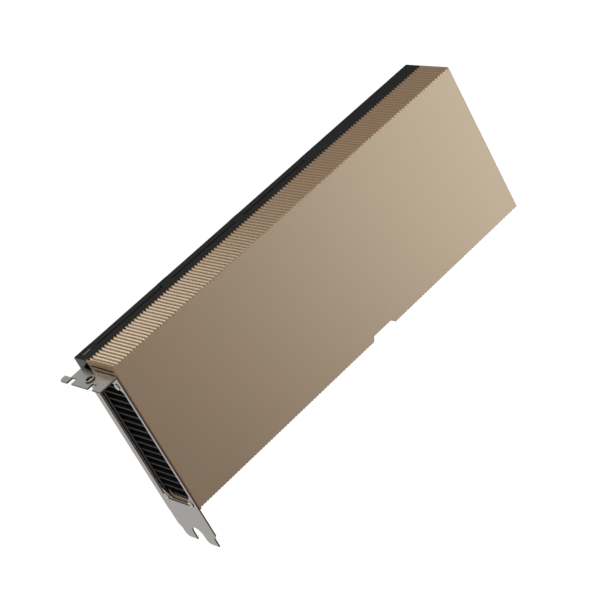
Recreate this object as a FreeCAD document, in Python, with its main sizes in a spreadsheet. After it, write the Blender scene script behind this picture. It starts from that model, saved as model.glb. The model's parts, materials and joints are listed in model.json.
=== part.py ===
import FreeCAD, Part
import math
import os
import Sketcher

# Passive dual-slot accelerator card, lying on its backplate.
# +Z points from the backplate to the ribbed cover, +X runs from the slot bracket to the far end, and
# +Y points from the contact edge to the link-connector side. The origin is the middle of the backplate's
# outer face. Every length is in millimetres and sits once in the sheet below.

Vector = FreeCAD.Vector

SIZES = {
    # the card as a whole
    "card_length": 267.7,        # bracket's outer face to the far end
    "cover_height": 97.7,        # link side to contact side, over the ribs
    "card_thickness": 37.6,      # backplate's outer face to the cover's face
    "fit_gap": 0.15,             # clearance where one piece lies in or beside another
    "thread_gap": 0.05,          # clearance round a screw's shank
    # circuit board and its edge connector
    "board_thickness": 1.57,
    "board_level": 2.67,         # board's back face above the backplate's outer face
    "board_drop": 5.2,           # board below the cover's edge
    "contact_drop": 13.45,       # contact edge below the cover's edge
    "tongue_start": 46.5,        # from the bracket's outer face
    "tongue_length": 85.5,
    "key_centre": 12.5,          # key notch from the start of the tongue
    "key_width": 1.9,
    "key_depth": 7.6,
    "hook_gap": 4.0,
    "hook_length": 6.0,
    "hook_rise": 2.6,
    "contact_pitch": 1.0,
    "contact_length": 4.3,
    "contact_inset": 0.9,
    "contact_thickness": 0.06,
    "short_contacts": 11,
    "long_contacts": 71,
    "edge_bevel": 0.4,
    # backplate
    "backplate_sheet": 1.2,
    "ledge_width": 5.3,
    "strip_height": 12.6,        # black strip along the link side
    "strip_wall": 2.0,
    "gusset_reach": 6.5,
    "gusset_foot": 4.3,
    "gusset_sheet": 1.5,
    # link-connector caps
    "cap_start": 13.2,           # first cap from the bracket's outer face
    "cap_length": 49.4,
    "cap_pitch": 56.45,
    "cap_depth": 6.4,
    "cap_reach": 8.0,
    "cap_face": 1.3,
    # cover
    "cover_plate": 1.4,
    "cover_wall": 3.9,
    "ridge_pitch": 2.18,
    "ridge_depth": 0.75,
    "ridge_crest": 0.8,          # flat crest between two V grooves
    "end_flat": 1.2,             # plain edge beside the first and the last groove
    "rim_rise": 0.7,             # plain edge at the bracket end, above the crests
    "cover_bevel": 0.6,
    "cheek_width": 3.0,          # end wall beside the bracket's flange
    "cheek_overlap": 1.5,
    "flange_gap": 0.65,          # open gap between the end wall and the flange
    "web_width": 3.4,            # small corner webs in the bracket end
    "web_rise": 2.5,
    "notch_start": 141.3,        # latch notch from the bracket's outer face
    "notch_length": 18.9,
    "notch_depth": 3.1,
    "notch_slant": 2.0,
    "slit_inset": 2.2,
    "slit_width": 1.3,
    "slit_depth": 5.0,
    # rails between board and cover, and the end bosses
    "upper_rail_width": 6.0,
    "boss_length": 6.5,
    "boss_floor": 28.2,
    "boss_margin": 3.1,          # material round an end screw
    # slot bracket
    "bracket_sheet": 0.86,
    "bracket_joggle": 0.5,
    "bracket_height": 120.02,    # flange to tongue tips
    "bracket_back": 1.1,         # plate's back edge above the backplate's outer face
    "bracket_front": 37.2,
    "bracket_step": 0.5,
    "step_rise": 18.4,           # small step in the back edge, above the tongue tips
    "shoulder_rise": 8.9,
    "neck_rise": 5.9,
    "bend_rise": 4.9,
    "slot_pitch": 20.32,
    "tongue_width": 10.19,
    "tongue_back": 3.5,
    "tongue_round": 3.4,
    "flange_drop": 5.86,         # flange below the cover's link side
    "flange_reach": 11.7,
    "flange_back": 3.0,
    "flange_slot_level": 6.65,
    "flange_slot_width": 4.42,
    "flange_slot_depth": 4.1,
    "flange_hook_depth": 4.2,
    "flange_hook_drop": 3.0,
    "flange_hook_bevel": 1.5,
    "flange_hole_radius": 2.1,
    "flange_collar_radius": 2.9,
    "flange_collar_rise": 0.7,
    "flange_hole_level": 19.5,
    "flange_hole_reach": 5.5,
    "relief": 3.0,
    # bracket window
    "window_back": 6.2,
    "window_front": 35.0,
    "window_foot": 0.5,          # above the cover's contact side
    "window_head": 10.2,         # below the cover's link side
    "window_round": 2.8,
    "lip_width": 1.1,
    "tab_leg": 6.4,
    # end screws: four at the bracket, the same four holes free at the far end
    "end_screw_low": 8.6,
    "end_screw_high": 32.1,
    "end_screw_top": 13.0,       # below the cover's link side
    "end_screw_bottom": 2.6,     # above the cover's contact side
    "end_hole_radius": 1.25,
    "end_hole_depth": 6.0,
    "end_head_radius": 1.85,
    "end_head_height": 0.9,
    "end_socket": 0.85,
    # heatsink
    "heatsink_start": 2.0,       # from the bracket's outer face
    "heatsink_end_gap": 17.0,
    "base_level": 4.6,
    "base_thickness": 2.0,
    "heatsink_inset": 10.96,     # below the cover's link side; the fins share the width evenly
    "fin_thickness": 1.3,
    "fin_count": 17,
    "fin_top_gap": 0.3,
    "well_start": 16.0,          # room for the components, from the bracket's outer face
    "well_end_gap": 34.0,
    "well_clearance": 0.8,       # beside the package and the rows of components
    "well_roof": 10.4,
    # heat spreader and processor package
    "spreader_level": 7.4,
    "package_place": 118.0,      # from the bracket's outer face
    "package_size": 55.0,
    "substrate_thickness": 1.3,
    "die_length": 26.0,
    "die_width": 31.0,
    "die_thickness": 0.7,
    "stack_clearance": 2.2,      # to the stiffener
    "stack_width": 10.0,
    "stack_gap": 0.8,
    "stiffener_width": 3.5,
    "stiffener_thickness": 0.6,
    "interface_thickness": 0.1,
    # voltage regulators
    "inductor_size": 6.4,
    "inductor_height": 2.6,
    "inductor_count": 6,         # in a row as long as the package
    "inductor_offset": 36.0,     # rows from the package's middle
    "stage_length": 5.0,
    "stage_width": 6.0,
    "stage_height": 0.9,
    "stage_offset": 44.0,
    "capacitor_length": 4.3,
    "capacitor_width": 7.3,
    "capacitor_height": 2.0,
    "capacitor_offset": 51.5,
    # power header
    "header_depth": 12.5,
    "header_width": 18.2,
    "header_height": 9.6,
    "header_place": 30.0,        # middle of the header below the cover's link side
    "header_cell": 3.3,
    "header_pitch": 4.2,
    "header_cell_depth": 10.0,
    "pin_size": 0.9,
    "pin_length": 7.0,
    # screws from the back, through board and rails
    "back_screw_radius": 1.1,
    "back_hole_radius": 1.3,
    "back_head_radius": 1.85,
    "back_head_height": 1.1,
    "back_screw_length": 9.0,
    "back_screw_inset": 12.0,    # from the far end
}

doc = FreeCAD.newDocument("AcceleratorCard")
sheet = doc.addObject("Spreadsheet::Sheet", "Sizes")
for row, (word, number) in enumerate(SIZES.items(), 1):
    sheet.set(f"A{row}", word)
    sheet.set(f"B{row}", str(number))
    sheet.setAlias(f"B{row}", word)
doc.recompute()


def S(word):
    """The cell of one size, for use in an expression."""
    return f"Sizes.{word}"


def value(expression):
    """The number that an expression gives with the sheet as it stands."""
    result = sheet.evalExpression(str(expression))
    return float(getattr(result, "Value", result))


# Places that several pieces share
NEAR = f"(-{S('card_length')} / 2)"
FAR = f"({S('card_length')} / 2)"
TOP = f"({S('cover_height')} / 2)"
BOTTOM = f"(-{S('cover_height')} / 2)"
FRONT = S("card_thickness")
RIM = S("strip_height")
CEILING = f"({FRONT} - {S('cover_plate')})"
BOARD_BACK = S("board_level")
BOARD_FRONT = f"({S('board_level')} + {S('board_thickness')})"
COVER_START = f"({NEAR} + {S('bracket_sheet')})"
BODY_START = f"({COVER_START} + {S('bracket_joggle')})"
BOARD_START = f"({COVER_START} + {S('gusset_sheet')} + {S('fit_gap')})"
BOARD_END = f"({FAR} - {S('gusset_sheet')} - {S('fit_gap')})"
BOARD_TOP = f"({TOP} - {S('strip_wall')} - {S('fit_gap')})"
CONTACT_EDGE = f"({BOTTOM} - {S('contact_drop')})"
TONGUE_START = f"({NEAR} + {S('tongue_start')})"
TONGUE_END = f"({TONGUE_START} + {S('tongue_length')})"
KEY = f"({TONGUE_START} + {S('key_centre')})"
CAVITY = f"({TOP} - {S('cover_wall')})"
FLANGE = f"({TOP} - {S('flange_drop')})"
TIP = f"({FLANGE} - {S('bracket_height')})"
SCREW_TOP = f"({TOP} - {S('end_screw_top')})"
SCREW_BOTTOM = f"({BOTTOM} + {S('end_screw_bottom')})"
WINDOW_HEAD = f"({TOP} - {S('window_head')})"
WINDOW_FOOT = f"({BOTTOM} + {S('window_foot')})"
HEATSINK_BOTTOM = f"(-{CAVITY} + {S('fit_gap')})"
HEATSINK_TOP = f"({TOP} - {S('heatsink_inset')})"
HEATSINK_START = f"({NEAR} + {S('heatsink_start')})"
HEATSINK_END = f"({FAR} - {S('heatsink_end_gap')})"
WELL_START = f"({NEAR} + {S('well_start')})"
WELL_END = f"({FAR} - {S('well_end_gap')})"
PACKAGE_X = f"({NEAR} + {S('package_place')})"
WELL_SIDE = f"({S('package_size')} / 2 + {S('well_clearance')})"
ROW_LENGTH = f"({S('package_size')} - {S('capacitor_width')})"
DIE_TOP = f"({BOARD_FRONT} + {S('substrate_thickness')} + {S('die_thickness')})"
UPPER_RAIL = f"({BOARD_TOP} - {S('upper_rail_width')})"
LOWER_RAIL = f"({BOTTOM} + {S('ridge_depth')})"


# ---------------------------------------------------------------- helpers

def bind(thing, **formulas):
    """Tie properties to formulas; x, y, z stand for the placement's base."""
    for name, formula in formulas.items():
        path = f"Placement.Base.{name}" if name in ("x", "y", "z") else name
        thing.setExpression(path, str(formula))
    return thing


def box(name, x, y, z):
    """A block between two formulas along each axis."""
    block = doc.addObject("Part::Box", name)
    bind(block, x=x[0], y=y[0], z=z[0])
    bind(block, Length=f"{x[1]} - ({x[0]})", Width=f"{y[1]} - ({y[0]})", Height=f"{z[1]} - ({z[0]})")
    return block


def rod(name, x, y, z, radius, length, turn=None):
    """A cylinder from a point, upright or turned to another axis."""
    cylinder = doc.addObject("Part::Cylinder", name)
    if turn:
        cylinder.Placement = FreeCAD.Placement(Vector(), FreeCAD.Rotation(*turn))
    return bind(cylinder, x=x, y=y, z=z, Radius=radius, Height=length)


ALONG_X = (Vector(0, 1, 0), 90)
AGAINST_X = (Vector(0, 1, 0), -90)


def fused(name, *pieces):
    whole = doc.addObject("Part::MultiFuse", name)
    whole.Shapes = list(pieces)
    return whole


def group(name, pieces):
    whole = doc.addObject("Part::Compound", name)
    whole.Links = list(pieces)
    return whole


def cut(name, base, tool):
    piece = doc.addObject("Part::Cut", name)
    piece.Base = base
    piece.Tool = tool
    return piece


def origin_plane(body, role):
    return next(o for o in body.Origin.OriginFeatures if o.Role == role)


def hold(sketch, kind, *where):
    """Add one distance or radius and tie it to its formula."""
    *places, formula = where
    index = sketch.addConstraint(Sketcher.Constraint(kind, *places, value(formula)))
    sketch.setExpression(f"Constraints[{index}]", formula)


def new_sketch(body, name, role, offset):
    sketch = body.newObject("Sketcher::SketchObject", name)
    sketch.AttachmentSupport = [(origin_plane(body, role), "")]
    sketch.MapMode = "FlatFace"
    sketch.setExpression("AttachmentOffset.Base.z", offset)
    return sketch


def add_outline(sketch, points):
    """A closed run of straight lines through formula points."""
    first = sketch.GeometryCount
    count = len(points)
    corners = [Vector(value(across), value(up), 0) for across, up in points]
    for i in range(count):
        sketch.addGeometry(Part.LineSegment(corners[i], corners[(i + 1) % count]), False)
    for i in range(count):
        sketch.addConstraint(Sketcher.Constraint("Coincident", first + i, 2, first + (i + 1) % count, 1))
        hold(sketch, "DistanceX", -1, 1, first + i, 1, points[i][0])
        hold(sketch, "DistanceY", -1, 1, first + i, 1, points[i][1])


def add_circle(sketch, across, up, radius):
    centre = Vector(value(across), value(up), 0)
    index = sketch.addGeometry(Part.Circle(centre, Vector(0, 0, 1), value(radius)), False)
    hold(sketch, "DistanceX", -1, 1, index, 3, across)
    hold(sketch, "DistanceY", -1, 1, index, 3, up)
    hold(sketch, "Radius", index, radius)


def new_body(name):
    return doc.addObject("PartDesign::Body", name)


def pad(body, name, role, offset, depth, outlines=(), circles=()):
    """Add material from a plane at an offset, along the plane's normal."""
    sketch = new_sketch(body, name + "_sketch", role, offset)
    for points in outlines:
        add_outline(sketch, points)
    for circle in circles:
        add_circle(sketch, *circle)
    feature = body.newObject("PartDesign::Pad", name)
    feature.Profile = sketch
    feature.setExpression("Length", depth)
    return feature


def pocket(body, name, role, offset, depth, outlines=(), circles=()):
    """Take material away from a plane at an offset, along the plane's normal."""
    doc.recompute()
    before = body.Shape.Volume
    sketch = new_sketch(body, name + "_sketch", role, offset)
    for points in outlines:
        add_outline(sketch, points)
    for circle in circles:
        add_circle(sketch, *circle)
    feature = body.newObject("PartDesign::Pocket", name)
    feature.Profile = sketch
    feature.Reversed = True
    feature.setExpression("Length", depth)
    doc.recompute()
    if not feature.Shape.Volume < before:
        raise RuntimeError(f"{name} removes nothing")
    return feature


def row_of(body, feature, name, axis, count, length):
    """Repeat the last feature along one axis."""
    pattern = body.newObject("PartDesign::LinearPattern", name)
    pattern.Originals = [feature]
    pattern.Direction = (origin_plane(body, axis), [""])
    pattern.setExpression("Occurrences", count)
    pattern.setExpression("Length", length)
    body.Tip = pattern
    return pattern


def edges_where(shape, test):
    """Names of the edges whose middle point and direction pass the test."""
    names = []
    for number, edge in enumerate(shape.Edges, 1):
        middle = edge.valueAt((edge.FirstParameter + edge.LastParameter) / 2)
        along = edge.tangentAt((edge.FirstParameter + edge.LastParameter) / 2)
        if test(middle, along):
            names.append(f"Edge{number}")
    return names


def near(a, b, reach=0.02):
    return abs(a - b) < reach


def rounded(body, name, radius, test, kind="PartDesign::Fillet"):
    """Round or bevel the edges of the body that pass the test."""
    doc.recompute()
    base = body.Tip
    names = edges_where(base.Shape, test)
    if not names:
        raise RuntimeError(f"{name} finds no edge")
    feature = body.newObject(kind, name)
    feature.Base = (base, names)
    feature.setExpression("Radius" if kind.endswith("Fillet") else "Size", radius)
    return feature


def rectangle(across, up):
    """Corner points of a rectangle between two formulas each way."""
    return [(across[0], up[0]), (across[1], up[0]), (across[1], up[1]), (across[0], up[1])]


# ---------------------------------------------------------------- cover

def ridge_row(level, outward):
    """Corners of the ridges along one side: flat crests with V grooves between them, as many as fit."""
    pitch, crest, flat = value(S("ridge_pitch")), value(S("ridge_crest")), value(S("end_flat"))
    x_start, x_end = value(COVER_START) + flat, value(FAR) - flat
    groove = level - outward * value(S("ridge_depth"))
    count = int((x_end - x_start) / pitch + 1e-6)
    first = x_start + (x_end - x_start - count * pitch) / 2
    flank = (pitch - crest) / 2
    profile = ((0, groove), (flank, level), (pitch - flank, level), (pitch, groove))
    return [[Vector(first + i * pitch + along, y, 0) for along, y in profile] for i in range(count)]


def cover_face():
    """The cover seen from its front: two ribbed sides, the latch notch and plain edges at the ends."""
    start, end = value(COVER_START), value(FAR)
    top, bottom = value(TOP), value(BOTTOM)
    rim, flat = value(S("rim_rise")), value(S("end_flat"))
    flank = (value(S("ridge_pitch")) - value(S("ridge_crest"))) / 2
    notch = value(NEAR) + value(S("notch_start"))
    notch_end = notch + value(S("notch_length"))
    slant, rise = value(S("notch_slant")), value(S("notch_depth"))

    upper = [corner for ridge in ridge_row(top, 1) for corner in ridge]
    lower = ridge_row(bottom, -1)
    before = [ridge for ridge in lower if ridge[3].x <= notch]
    after = [ridge for ridge in lower if ridge[0].x >= notch_end]
    mouth = [Vector(before[-1][3].x, bottom, 0), Vector(notch, bottom, 0),
             Vector(notch + slant, bottom + rise, 0), Vector(notch_end - slant, bottom + rise, 0),
             Vector(notch_end, bottom, 0), Vector(after[0][0].x, bottom, 0)]
    lower = [c for ridge in before for c in ridge] + mouth + [c for ridge in after for c in ridge]
    edge, last = start + flat - flank, upper[-1].x + flank
    corners = [Vector(start, top + rim, 0), Vector(edge, top + rim, 0), *upper, Vector(last, top, 0),
               Vector(end, top, 0), Vector(end, bottom, 0), Vector(last, bottom, 0), *lower[::-1],
               Vector(edge, bottom - rim, 0), Vector(start, bottom - rim, 0)]
    outline = [corners[0]]
    for corner in corners[1:]:
        if (corner - outline[-1]).Length > 1e-6:
            outline.append(corner)
    return Part.Face(Part.makePolygon(outline + outline[:1]))


def build_cover():
    outline = doc.addObject("Part::Feature", "CoverOutline")
    outline.Shape = cover_face()
    bind(outline, z=RIM)
    shell = doc.addObject("Part::Extrusion", "CoverBlock")
    shell.Base = outline
    shell.DirMode = "Custom"
    shell.Dir = Vector(0, 0, 1)
    shell.Solid = True
    bind(shell, LengthFwd=f"{FRONT} - {RIM}")

    spare = "1"
    hollow = box("CoverHollow", (f"{BODY_START} - {spare}", f"{FAR} + {spare}"), (f"-{CAVITY}", CAVITY),
                 (f"{RIM} - {spare}", CEILING))

    overlap = "0.5"
    boss = box("CoverBoss", end_spans()[0], (f"{SCREW_TOP} - {S('boss_margin')}", f"{CAVITY} + {overlap}"),
               (S("boss_floor"), f"{CEILING} + {overlap}"))
    cheek = box("CoverCheek", (COVER_START, f"{COVER_START} + {S('cheek_width')}"),
                (f"{FLANGE} - {S('cheek_overlap')}", f"{CAVITY} + {overlap}"),
                (RIM, f"{CEILING} + {overlap}"))
    webs = new_body("CoverWebs")
    for name, side in (("LowerWeb", "-"), ("UpperWeb", "")):
        pad(webs, name, "YZ_Plane", BODY_START, f"{HEATSINK_START} - {S('fit_gap')} - {BODY_START}",
            [[(f"{side}({CAVITY} + {overlap})", RIM), (f"{side}({CAVITY} - {S('web_width')})", RIM),
              (f"{side}{CAVITY}", f"{RIM} + {S('web_rise')}"),
              (f"{side}({CAVITY} + {overlap})", f"{RIM} + {S('web_rise')}")]])
    bevels = new_body("CoverBevels")
    bevel, high = S("cover_bevel"), f"{FRONT} + {spare}"
    reach = f"({TOP} + {S('rim_rise')} + {spare})"
    for name, end, turn in (("NearBevel", COVER_START, 1), ("FarBevel", FAR, -1)):
        pad(bevels, name, "XZ_Plane", f"-{reach}", f"2 * {reach}",
            [[(f"{end} - {turn} * {spare}", f"{FRONT} - {bevel} - {spare}"),
              (f"{end} + {turn} * ({bevel} + {spare})", high), (f"{end} - {turn} * {spare}", high)]])
    slit_low = f"{TOP} - {S('slit_inset')} - {S('slit_width')}"
    slits = [box(name, (f"{COVER_START} - {spare}", f"{COVER_START} + {S('slit_depth')}"), up,
                 (f"{RIM} + {S('web_rise')}", CEILING))
             for name, up in (("CoverSlit", (slit_low, f"{TOP} - {S('slit_inset')}")),
                              ("FlangeGap", (FLANGE, f"{FLANGE} + {S('flange_gap')}")))]
    rim_room = f"{S('bracket_sheet')} + {S('fit_gap')}"
    lip_room = box("CoverLipRoom", (f"{COVER_START} - {spare}", BODY_START),
                   (f"-{reach}", f"{WINDOW_HEAD} + {rim_room}"),
                   (f"{RIM} - {spare}", f"{S('window_front')} + {rim_room}"))
    holes = end_holes("Cover", S("end_screw_high"), [(BODY_START, ALONG_X)])
    return cut("cover", fused("CoverWithBosses", cut("CoverShell", shell, hollow), webs, boss, cheek),
               group("CoverCuts", [*slits, lip_room, bevels, *holes]))


def end_spans():
    """Where the bosses stand along the card, at the bracket and at the far end."""
    return [(BODY_START, f"{BODY_START} + {S('boss_length')}"), (f"{FAR} - {S('boss_length')}", FAR)]


def end_holes(name, level, ends):
    """Tapped holes in the given ends, one near each side of the card, at one level."""
    return [rod(f"{name}Hole{side}{n}", x, y, level, S("end_hole_radius"), S("end_hole_depth"), turn)
            for side, y in (("Upper", SCREW_TOP), ("Lower", SCREW_BOTTOM))
            for n, (x, turn) in enumerate(ends)]


# ---------------------------------------------------------------- rails between board and cover

def back_screw_places():
    """Screws from the back: two in the upper rail, clear of the link caps, and one amid the lower rail."""
    cap_space = f"({S('cap_pitch')} - {S('cap_length')})"
    between_caps = f"({NEAR} + {S('cap_start')} + {S('cap_pitch')} - {cap_space} / 2)"
    far_end = f"({FAR} - {S('back_screw_inset')})"
    upper = [(x, f"(({UPPER_RAIL} + {BOARD_TOP}) / 2)") for x in (between_caps, far_end)]
    lower = [("0", f"(({LOWER_RAIL} - {CAVITY}) / 2)")]
    return upper, lower


def tap_holes(name, places):
    radius = f"{S('back_screw_radius')} + {S('thread_gap')}"
    depth = f"{S('back_screw_length')} - {BOARD_FRONT} + {S('fit_gap')}"
    return [rod(f"{name}Tap{i}", x, y, BOARD_FRONT, radius, depth) for i, (x, y) in enumerate(places)]


def build_rails():
    upper_places, lower_places = back_screw_places()
    bar = box("UpperBar", (BOARD_START, BOARD_END), (UPPER_RAIL, BOARD_TOP), (BOARD_FRONT, RIM))
    blocks = [box(f"UpperBlock{i}", x, (f"{SCREW_TOP} - {S('boss_margin')}",
                                        f"{TOP} - {S('gusset_reach')} - {S('fit_gap')}"), (BOARD_FRONT, RIM))
              for i, x in enumerate(end_spans())]
    recesses = [box(f"UpperRecess{i}", (f"{x[0]} - {S('fit_gap')}", f"{x[1]} + {S('fit_gap')}"),
                    (f"{TOP} - {S('cap_reach')} - {S('fit_gap')}", TOP),
                    (BOARD_FRONT, f"{S('cap_depth')} + {S('fit_gap')}")) for i, x in enumerate(cap_spans())]
    holes = end_holes("Rail", S("end_screw_low"), [(BODY_START, ALONG_X), (FAR, AGAINST_X)])
    upper_holes = [hole for hole in holes if "Upper" in hole.Name]
    lower_holes = [hole for hole in holes if "Lower" in hole.Name]
    cut("upper_rail", fused("UpperRailSolid", bar, *blocks),
        group("UpperRailCuts", recesses + upper_holes + tap_holes("Upper", upper_places)))
    lower = box("LowerBar", (BODY_START, FAR), (LOWER_RAIL, f"-{CAVITY}"), (BOARD_FRONT, RIM))
    cut("lower_rail", lower, group("LowerRailCuts", lower_holes + tap_holes("Lower", lower_places)))


# ---------------------------------------------------------------- backplate and link caps

def cap_spans():
    starts = [f"({NEAR} + {S('cap_start')} + {n} * {S('cap_pitch')})" for n in range(3)]
    return [(x, f"({x} + {S('cap_length')})") for x in starts]


def build_backplate():
    body = new_body("backplate")
    ledge = S("ledge_width")
    pad(body, "BackFloor", "XY_Plane", "0", BOARD_BACK, [rectangle((COVER_START, FAR), (BOTTOM, TOP))])
    pocket(body, "BackTray", "XY_Plane", S("backplate_sheet"), BOARD_BACK,
           [rectangle((f"{COVER_START} + {ledge}", f"{FAR} - {ledge}"),
                      (f"{BOTTOM} + {ledge}", f"{TOP} - {S('strip_wall')} - {ledge}"))])
    upper, lower = back_screw_places()
    places = upper + lower
    pad(body, "BackStrip", "XY_Plane", "0", RIM,
        [rectangle((COVER_START, FAR), (f"{TOP} - {S('strip_wall')}", TOP))])
    gusset = [(TOP, "0"), (TOP, RIM), (f"{TOP} - {S('gusset_reach')}", S("gusset_foot")),
              (f"{TOP} - {S('gusset_reach')}", "0")]
    pad(body, "NearGusset", "YZ_Plane", COVER_START, S("gusset_sheet"), [gusset])
    pad(body, "FarGusset", "YZ_Plane", f"{FAR} - {S('gusset_sheet')}", S("gusset_sheet"), [gusset])
    first = cap_spans()[0]
    recess = pocket(body, "CapRecess", "XY_Plane", "-1", f"1 + {S('cap_depth')} + {S('fit_gap')}",
                    [rectangle((f"{first[0]} - {S('fit_gap')}", f"{first[1]} + {S('fit_gap')}"),
                               (f"{TOP} - {S('cap_reach')} - {S('fit_gap')}", f"{TOP} + 1"))])
    row_of(body, recess, "CapRecesses", "X_Axis", "3", f"2 * {S('cap_pitch')}")
    pocket(body, "BackHoles", "XY_Plane", "-1", f"{BOARD_BACK} + 2",
           circles=[(x, y, S("back_hole_radius")) for x, y in places])
    pocket(body, "BackSeats", "XY_Plane", "-1", f"1 + {S('back_head_height')}",
           circles=[(x, y, f"{S('back_head_radius')} + {S('fit_gap')}") for x, y in places])
    return body


def build_link_caps():
    """Plug-in caps that wrap the board's link edges, flush with the strip and the backplate."""
    for number, span in enumerate(cap_spans(), 1):
        body = new_body(f"link_cap_{number}")
        pad(body, f"Cap{number}Block", "XY_Plane", "0", S("cap_depth"),
            [rectangle(span, (f"{TOP} - {S('cap_reach')}", TOP))])
        pocket(body, f"Cap{number}Slot", "XY_Plane", f"{BOARD_BACK} - {S('thread_gap')}",
               f"{S('board_thickness')} + 2 * {S('thread_gap')}",
               [rectangle((f"{span[0]} - 1", f"{span[1]} + 1"),
                          (f"{TOP} - {S('cap_reach')} - 1", f"{TOP} - {S('cap_face')}"))])


# ---------------------------------------------------------------- circuit board

def build_board():
    body = new_body("circuit_board")
    low = f"({BOTTOM} - {S('board_drop')})"
    hook = f"({TONGUE_END} + {S('hook_gap')})"
    key = [f"({KEY} - {S('key_width')} / 2)", f"({KEY} + {S('key_width')} / 2)"]
    key_top = f"({CONTACT_EDGE} + {S('key_depth')})"
    outline = [(BOARD_START, BOARD_TOP), (BOARD_START, low), (TONGUE_START, low),
               (TONGUE_START, CONTACT_EDGE), (key[0], CONTACT_EDGE), (key[0], key_top),
               (key[1], key_top), (key[1], CONTACT_EDGE), (TONGUE_END, CONTACT_EDGE),
               (TONGUE_END, low), (hook, low), (hook, f"({CONTACT_EDGE} + {S('hook_rise')})"),
               (f"({hook} + {S('hook_length')})", f"({CONTACT_EDGE} + {S('hook_rise')})"),
               (f"({hook} + {S('hook_length')})", BOTTOM), (BOARD_END, BOTTOM), (BOARD_END, BOARD_TOP)]
    pad(body, "BoardSheet", "XY_Plane", BOARD_BACK, S("board_thickness"), [outline])
    spans = cap_spans()
    pad(body, "LinkEdges", "XY_Plane", BOARD_BACK, S("board_thickness"),
        [rectangle((f"{a} + {S('cap_face')}", f"{b} - {S('cap_face')}"),
                   (f"{BOARD_TOP} - 1", f"{TOP} - {S('cap_face')} - {S('fit_gap')}")) for a, b in spans])
    upper, lower = back_screw_places()
    pocket(body, "BoardHoles", "XY_Plane", f"{BOARD_BACK} - 1", f"{S('board_thickness')} + 2",
           circles=[(x, y, S("back_hole_radius")) for x, y in upper + lower])
    edge = value(CONTACT_EDGE)
    rounded(body, "EdgeBevel", S("edge_bevel"),
            lambda p, t: near(p.y, edge) and near(abs(t.x), 1), "PartDesign::Chamfer")
    return body


def build_contacts():
    """Plated contact fields on both faces of the tongue, in two runs either side of the key notch."""
    foot = f"({CONTACT_EDGE} + {S('contact_inset')})"
    key_half = f"{S('key_width')} / 2"
    runs = [(f"({KEY} - {key_half} - {S('short_contacts')} * {S('contact_pitch')})", f"({KEY} - {key_half})"),
            (f"({KEY} + {key_half})", f"({KEY} + {key_half} + {S('long_contacts')} * {S('contact_pitch')})")]
    levels = [(f"({BOARD_BACK} - {S('contact_thickness')})", BOARD_BACK),
              (BOARD_FRONT, f"({BOARD_FRONT} + {S('contact_thickness')})")]
    fields = [box(f"ContactField{i}{j}", run, (foot, f"({foot} + {S('contact_length')})"), level)
              for i, run in enumerate(runs) for j, level in enumerate(levels)]
    group("edge_contacts", fields)


# ---------------------------------------------------------------- slot bracket

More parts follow.
